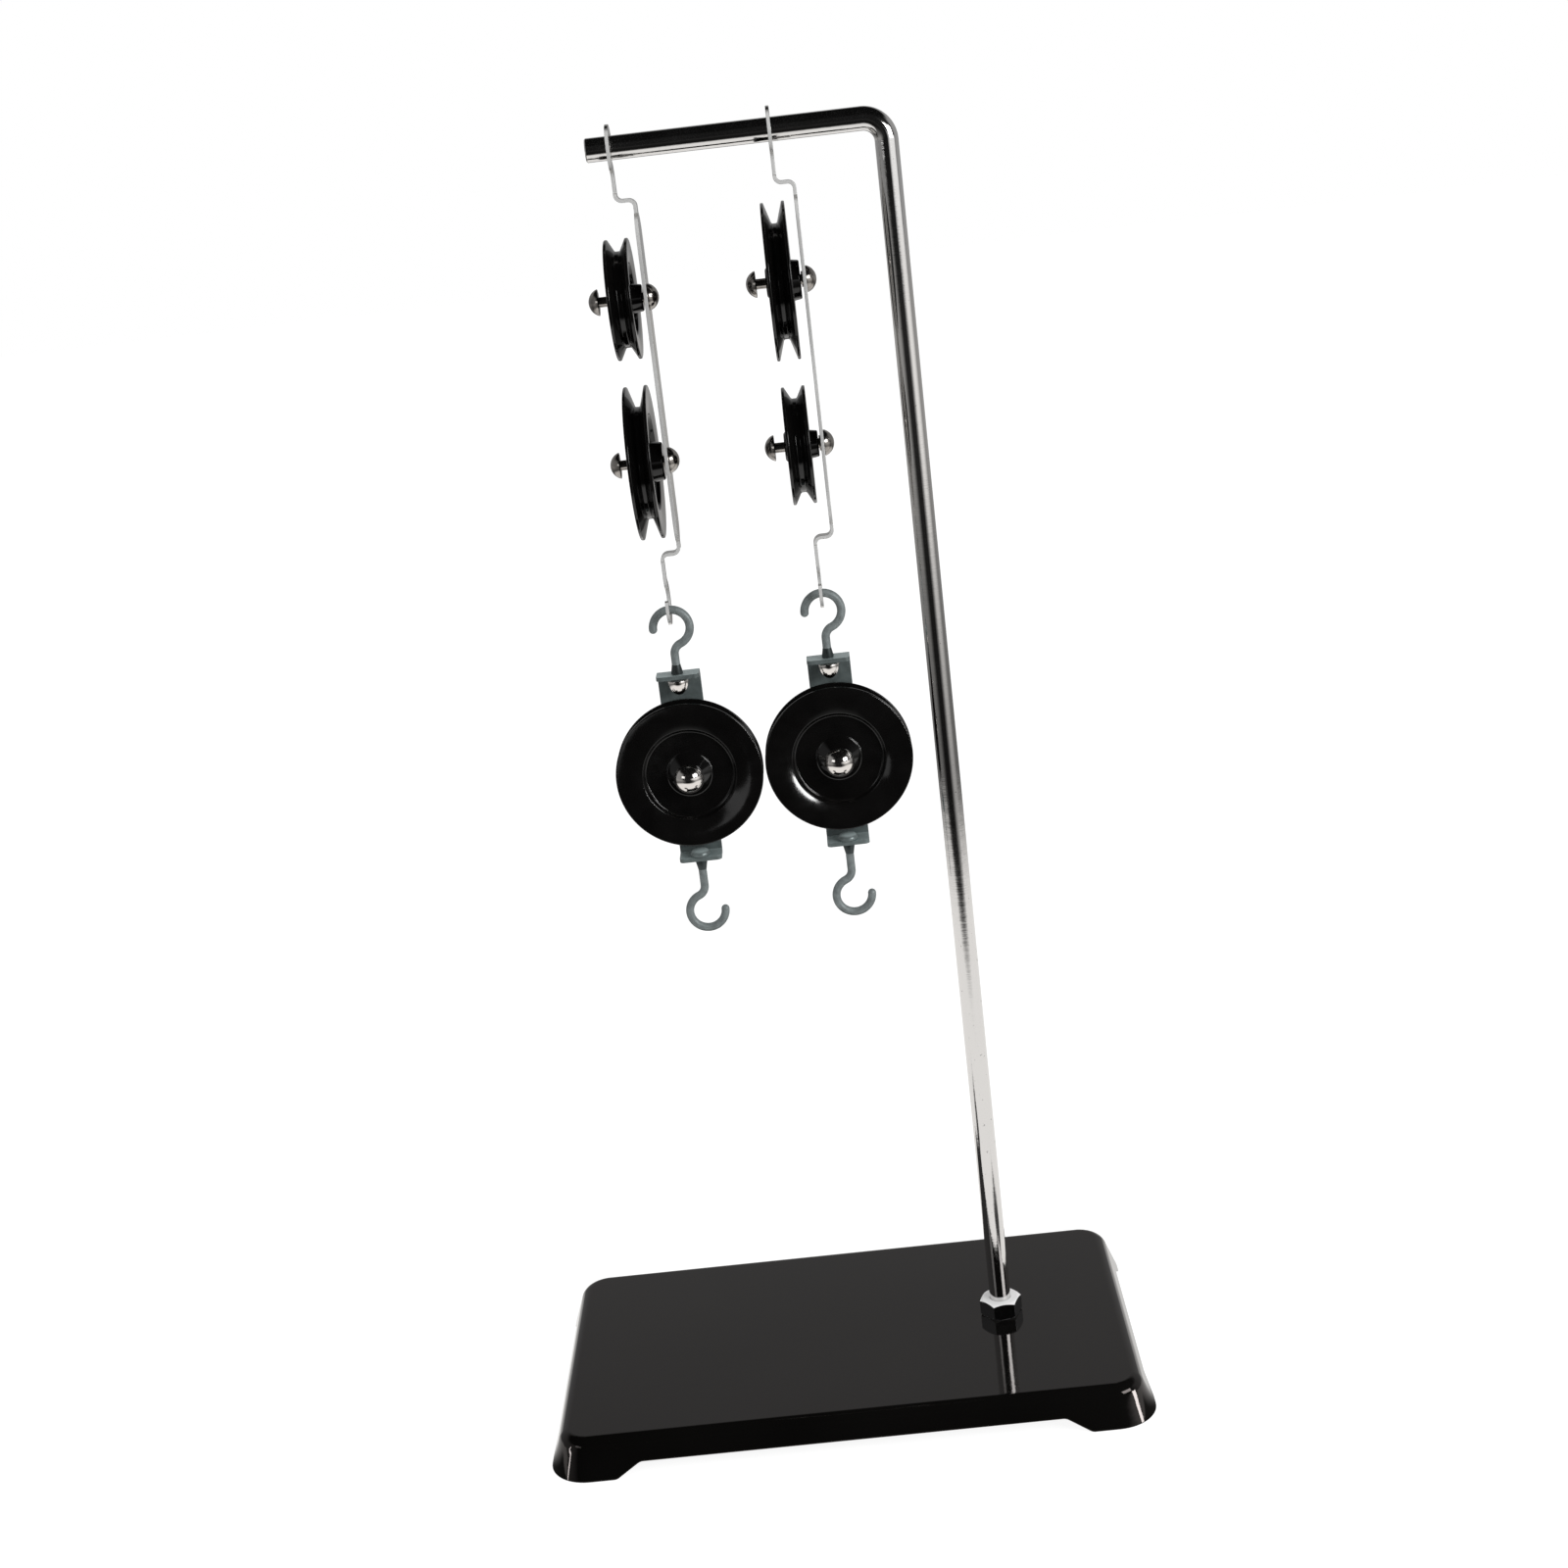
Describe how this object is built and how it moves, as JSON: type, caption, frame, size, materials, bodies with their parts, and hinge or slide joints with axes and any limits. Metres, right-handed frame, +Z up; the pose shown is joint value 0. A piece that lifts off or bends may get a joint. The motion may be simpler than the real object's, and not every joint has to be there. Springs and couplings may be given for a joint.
{
  "type": "pulley demonstrator",
  "caption": "Bench stand with a cranked rod whose arm carries tandem pulleys, each with a hooked single pulley below, for showing simple and compound pulley tackles.",
  "frame": {"origin": "on the table, under the middle of the base", "axes": "+X along the base towards the rod, +Y away from the faces of the single pulleys, +Z up"},
  "size_m": [0.2224, 0.1364, 0.4682],
  "materials": {
    "base_enamel": "baked black enamel, satin, slightly orange-peeled",
    "rod_chrome": "bright chrome plate, drawn bar",
    "fastener_plating": "bright zinc or nickel plate",
    "frame_steel": "nickel-plated strip, lightly brushed",
    "sheave_plastic": "moulded black plastic, glossy",
    "rivet_plating": "bright nickel plate, domed",
    "strap_steel": "grey-green plated sheet, satin",
    "hook_wire": "dull zinc-plated wire"
  },
  "bodies": {
    "stand": {"base_plate": "base_enamel", "stand_rod": "rod_chrome", "upper_nut": "fastener_plating", "lower_nut": "fastener_plating", "rod_washer": "fastener_plating"},
    "left_tandem": {"left_tandem_frame": "frame_steel", "left_tandem_large_axle": "rivet_plating", "left_tandem_small_axle": "rivet_plating"},
    "left_tandem_large_wheel": {"left_tandem_large_sheave": "sheave_plastic"},
    "left_tandem_small_wheel": {"left_tandem_small_sheave": "sheave_plastic"},
    "left_link_hook": {"left_single_upper_hook": "hook_wire"},
    "left_single": {"left_single_strap": "strap_steel", "left_single_axle": "rivet_plating"},
    "left_single_wheel": {"left_single_sheave": "sheave_plastic"},
    "left_load_hook": {"left_single_lower_hook": "hook_wire"},
    "right_tandem": {"right_tandem_frame": "frame_steel", "right_tandem_large_axle": "rivet_plating", "right_tandem_small_axle": "rivet_plating"},
    "right_tandem_large_wheel": {"right_tandem_large_sheave": "sheave_plastic"},
    "right_tandem_small_wheel": {"right_tandem_small_sheave": "sheave_plastic"},
    "right_link_hook": {"right_single_upper_hook": "hook_wire"},
    "right_single": {"right_single_strap": "strap_steel", "right_single_axle": "rivet_plating"},
    "right_single_wheel": {"right_single_sheave": "sheave_plastic"},
    "right_load_hook": {"right_single_lower_hook": "hook_wire"}
  },
  "joints": [
    {"name": "left_tandem_swing", "type": "hinge", "parent": "stand", "child": "left_tandem", "pos_m": [-0.032, 0, 0.4605], "axis": [1, 0, 0], "range_deg": [-60, 60]},
    {"name": "left_tandem_large_spin", "type": "hinge", "parent": "left_tandem", "child": "left_tandem_large_wheel", "pos_m": [-0.03385, 0, 0.3545], "axis": [1, 0, 0], "continuous": true},
    {"name": "left_tandem_small_spin", "type": "hinge", "parent": "left_tandem", "child": "left_tandem_small_wheel", "pos_m": [-0.03385, 0, 0.4105], "axis": [1, 0, 0], "continuous": true},
    {"name": "left_link_swing", "type": "hinge", "parent": "left_tandem", "child": "left_link_hook", "pos_m": [-0.032, 0, 0.302], "axis": [1, 0, 0], "range_deg": [-60, 60]},
    {"name": "left_single_swivel", "type": "hinge", "parent": "left_link_hook", "child": "left_single", "pos_m": [-0.032, 0, 0.27849], "axis": [0, 0, 1], "continuous": true},
    {"name": "left_single_spin", "type": "hinge", "parent": "left_single", "child": "left_single_wheel", "pos_m": [-0.032, 0, 0.24189], "axis": [0, 1, 0], "continuous": true},
    {"name": "left_load_hook_swivel", "type": "hinge", "parent": "left_single", "child": "left_load_hook", "pos_m": [-0.032, 0, 0.20889], "axis": [0, 0, 1], "continuous": true},
    {"name": "right_tandem_swing", "type": "hinge", "parent": "stand", "child": "right_tandem", "pos_m": [0.0219, 0, 0.4605], "axis": [1, 0, 0], "range_deg": [-60, 60]},
    {"name": "right_tandem_large_spin", "type": "hinge", "parent": "right_tandem", "child": "right_tandem_large_wheel", "pos_m": [0.02005, 0, 0.4105], "axis": [1, 0, 0], "continuous": true},
    {"name": "right_tandem_small_spin", "type": "hinge", "parent": "right_tandem", "child": "right_tandem_small_wheel", "pos_m": [0.02005, 0, 0.3545], "axis": [1, 0, 0], "continuous": true},
    {"name": "right_link_swing", "type": "hinge", "parent": "right_tandem", "child": "right_link_hook", "pos_m": [0.0219, 0, 0.302], "axis": [1, 0, 0], "range_deg": [-60, 60]},
    {"name": "right_single_swivel", "type": "hinge", "parent": "right_link_hook", "child": "right_single", "pos_m": [0.0219, 0, 0.27849], "axis": [0, 0, 1], "continuous": true},
    {"name": "right_single_spin", "type": "hinge", "parent": "right_single", "child": "right_single_wheel", "pos_m": [0.0219, 0, 0.24189], "axis": [0, 1, 0], "continuous": true},
    {"name": "right_load_hook_swivel", "type": "hinge", "parent": "right_single", "child": "right_load_hook", "pos_m": [0.0219, 0, 0.20889], "axis": [0, 0, 1], "continuous": true}
  ]
}
